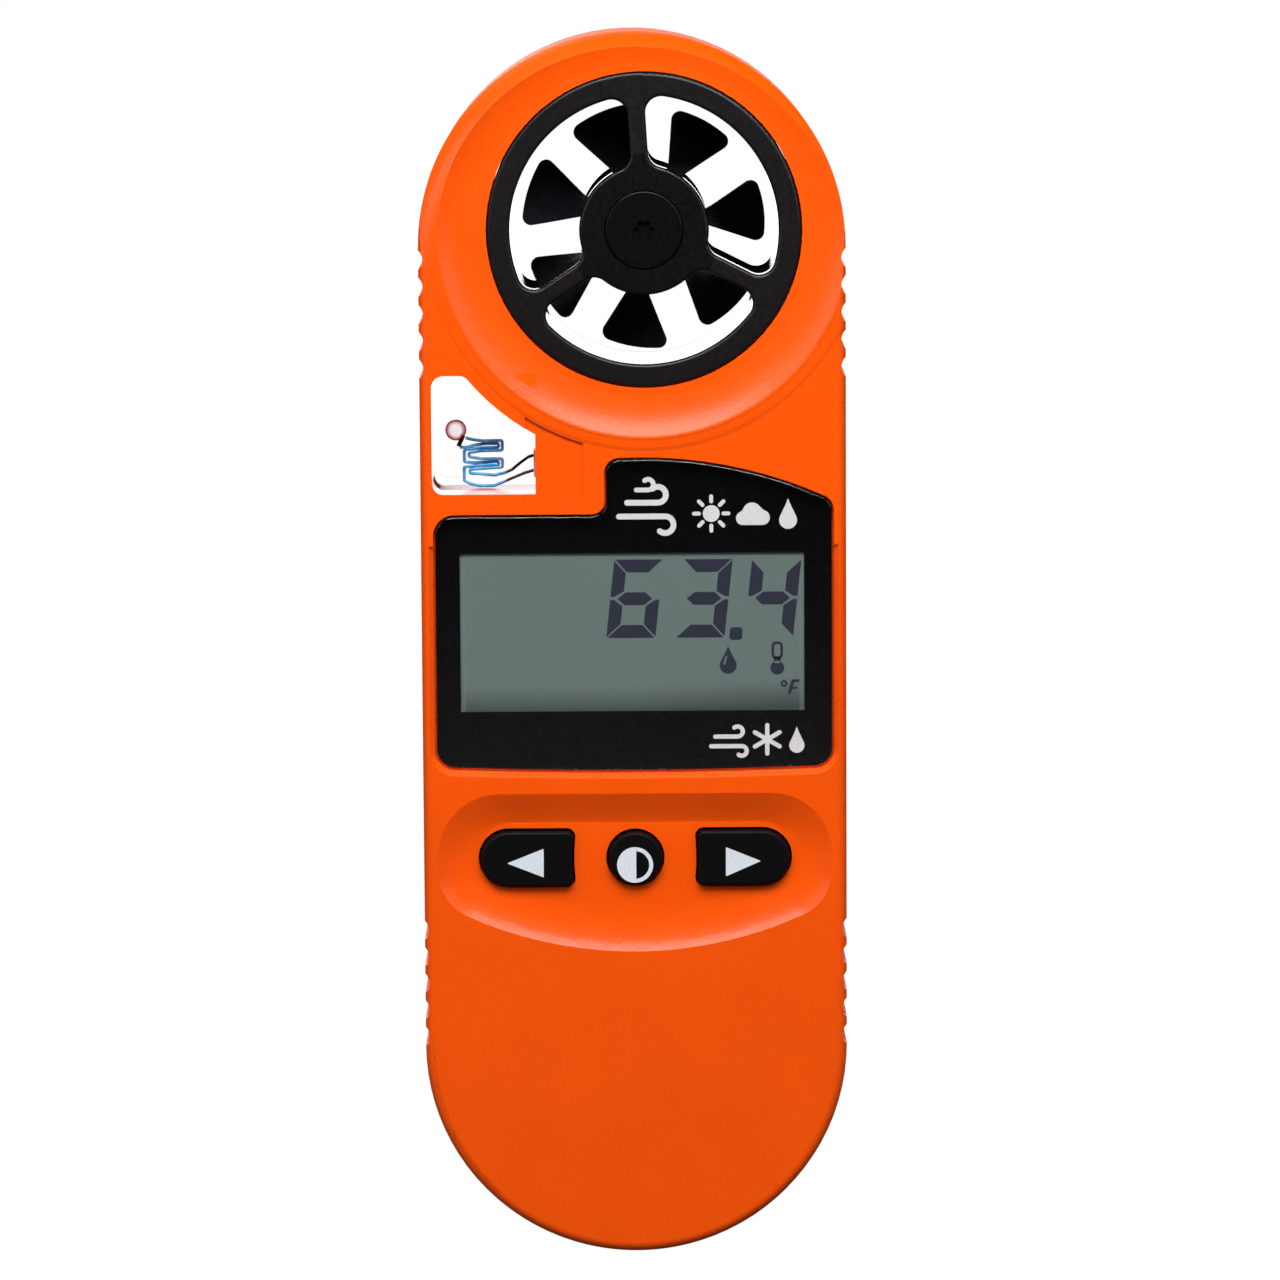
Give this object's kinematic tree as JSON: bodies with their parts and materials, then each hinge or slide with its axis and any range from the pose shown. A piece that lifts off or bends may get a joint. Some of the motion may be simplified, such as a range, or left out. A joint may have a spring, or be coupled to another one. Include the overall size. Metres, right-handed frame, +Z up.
{
  "type": "handheld weather meter",
  "caption": "Pocket weather meter: flat orange case with rounded ends, wind impeller cartridge at the top, open sensor window, display and round-ended keys.",
  "frame": {"origin": "bottom centre of the bounding box, on the tip of the case's lower end", "axes": "+X to the right when facing the display, +Y from the display face to the back, +Z up along the case towards the impeller"},
  "size_m": [0.0414, 0.0173, 0.1201],
  "materials": {
    "orange_plastic": "satin, very fine moulded grain",
    "door_plastic": "satin, very fine moulded grain",
    "seal_rubber": "soft satin",
    "key_rubber": "smooth matt",
    "carbon": "matt",
    "lens_clear": "polished",
    "lens_print": "gloss",
    "adhesive": "matt",
    "polariser": "smooth",
    "lcd_glass": "polished",
    "reflector": "satin film",
    "light_guide": "polished",
    "holder_plastic": "matt",
    "contact_strip": "matt",
    "lamp_body": "matt",
    "gold": "bright",
    "board": "lacquered",
    "chip_plastic": "matt",
    "tinned_steel": "satin",
    "chip_ceramic": "matt",
    "membrane": "fine porous sheet",
    "flex_film": "gloss film",
    "cell_steel": "bright",
    "spring_steel": "bright",
    "screw_steel": "satin",
    "bead_glass": "polished",
    "collar_black": "gloss",
    "gland_resin": "gloss",
    "blue_enamel": "glossy enamel",
    "cartridge_black": "satin, fine moulded grain",
    "plug_black": "satin",
    "jewel": "polished",
    "impeller_black": "satin gloss",
    "axle_steel": "polished",
    "magnet": "ground"
  },
  "bodies": {
    "casing": {"front_casing": "orange_plastic", "rear_casing": "orange_plastic", "casing_seal": "seal_rubber", "display_lens": "lens_clear", "lens_mask": "lens_print", "lens_adhesive": "adhesive", "front_polariser": "polariser", "lcd_front_glass": "lcd_glass", "lcd_rear_glass": "lcd_glass", "rear_reflector": "reflector", "light_guide": "light_guide", "lcd_holder": "holder_plastic", "upper_contact_strip": "contact_strip", "lower_contact_strip": "contact_strip", "backlight_leds": "lamp_body", "keypad_mat": "seal_rubber", "key_contacts": "gold", "main_board": "board", "processor": "chip_plastic", "timing_crystal": "tinned_steel", "pressure_sensor": "tinned_steel", "chip_components": "chip_ceramic", "vent_membrane": "membrane", "impeller_pickup": "chip_plastic", "pickup_flex": "flex_film", "coin_cell": "cell_steel", "negative_contact": "spring_steel", "positive_contact": "spring_steel", "door_seal": "seal_rubber", "case_screws": "screw_steel", "board_screws": "screw_steel", "lanyard_pin": "screw_steel", "thermistor_bead": "bead_glass", "bead_collar": "collar_black", "lead_gland": "gland_resin", "upper_thermistor_lead": "blue_enamel", "lower_thermistor_lead": "blue_enamel", "humidity_filter_cap": "membrane", "humidity_sensor": "chip_plastic"},
    "impeller_cartridge": {"cartridge_front": "cartridge_black", "cartridge_rear": "cartridge_black", "front_bearing_plug": "plug_black", "rear_bearing_plug": "plug_black", "front_jewel": "jewel", "rear_jewel": "jewel"},
    "impeller": {"impeller": "impeller_black", "impeller_axle": "axle_steel", "impeller_magnet": "magnet"},
    "left_key": {"left_key": "key_rubber", "left_contact_pill": "carbon"},
    "power_key": {"power_key": "key_rubber", "power_contact_pill": "carbon"},
    "right_key": {"right_key": "key_rubber", "right_contact_pill": "carbon"},
    "battery_door": {"battery_door": "door_plastic"}
  },
  "joints": [
    {"name": "cartridge_slide", "type": "slide", "parent": "casing", "child": "impeller_cartridge", "axis": [0, 1, 0], "range_m": [0, 0.02]},
    {"name": "impeller_spin", "type": "hinge", "parent": "impeller_cartridge", "child": "impeller", "pos_m": [0.0012, 0, 0.101], "axis": [0, 1, 0], "continuous": true},
    {"name": "left_key_press", "type": "slide", "parent": "casing", "child": "left_key", "axis": [0, 1, 0], "range_m": [0, 0.0006], "stiffness_N_per_m": 2500},
    {"name": "power_key_press", "type": "slide", "parent": "casing", "child": "power_key", "axis": [0, 1, 0], "range_m": [0, 0.0006], "stiffness_N_per_m": 2500},
    {"name": "right_key_press", "type": "slide", "parent": "casing", "child": "right_key", "axis": [0, 1, 0], "range_m": [0, 0.0006], "stiffness_N_per_m": 2500},
    {"name": "battery_door_turn", "type": "hinge", "parent": "casing", "child": "battery_door", "pos_m": [0, 0.0077, 0.0383], "axis": [0, 1, 0], "range_deg": [0, 60]}
  ]
}
